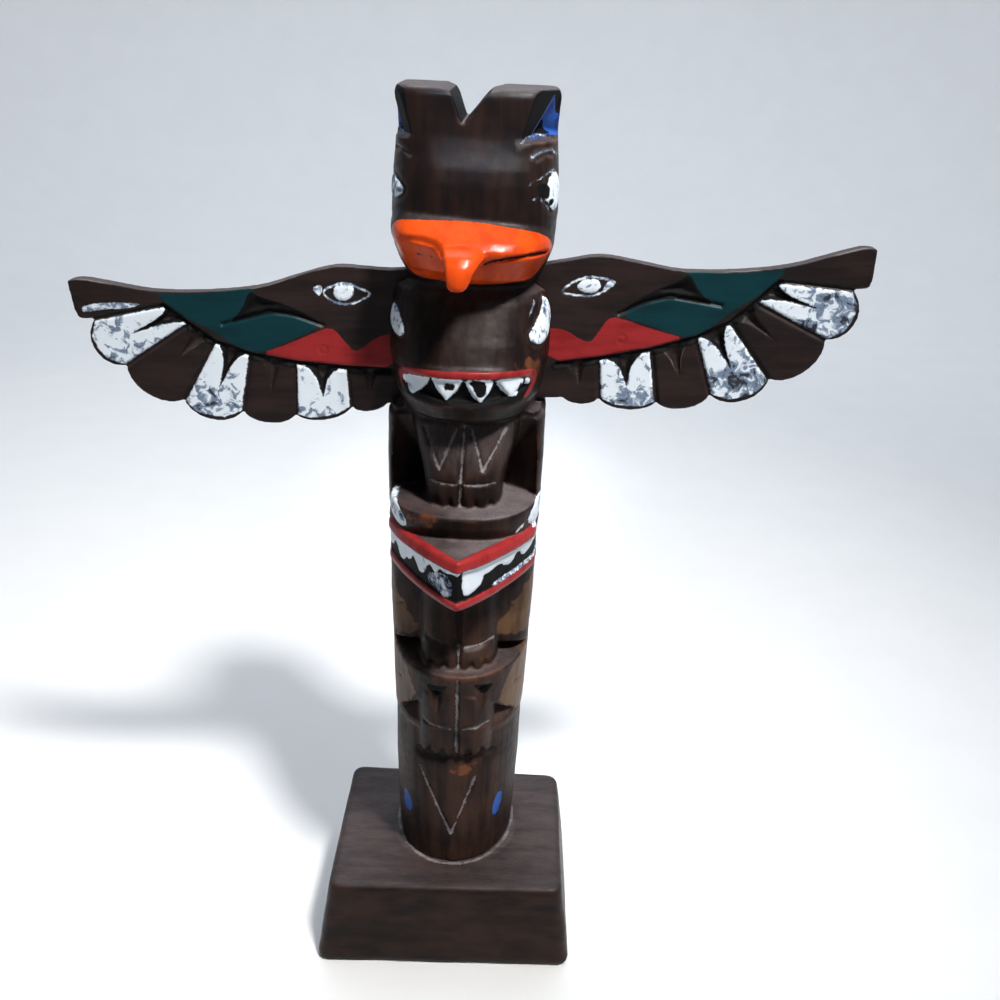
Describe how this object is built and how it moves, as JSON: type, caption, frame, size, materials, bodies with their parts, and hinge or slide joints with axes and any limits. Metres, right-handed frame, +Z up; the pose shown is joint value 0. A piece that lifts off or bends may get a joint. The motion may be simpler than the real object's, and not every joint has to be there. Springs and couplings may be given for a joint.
{
  "type": "totem pole",
  "caption": "Carved and painted wooden totem pole of stacked animal faces with outspread wings, standing on its own block of wood.",
  "frame": {"origin": "centre of the base's underside, on the surface the object stands on", "axes": "+Z up, the faces look along -Y, +X to the right as seen from the front"},
  "size_m": [0.2476, 0.084, 0.2976],
  "materials": {
    "stained wood": "dark brown stain with a satin sheen, with painted eyes, lips, teeth and beak",
    "wing wood": "near-black stain, satin, with painted feathers in worn white, green, red and brown"
  },
  "bodies": {
    "root": {"base": "stained wood", "pole": "stained wood", "left_wing": "wing wood", "right_wing": "wing wood"}
  },
  "joints": []
}
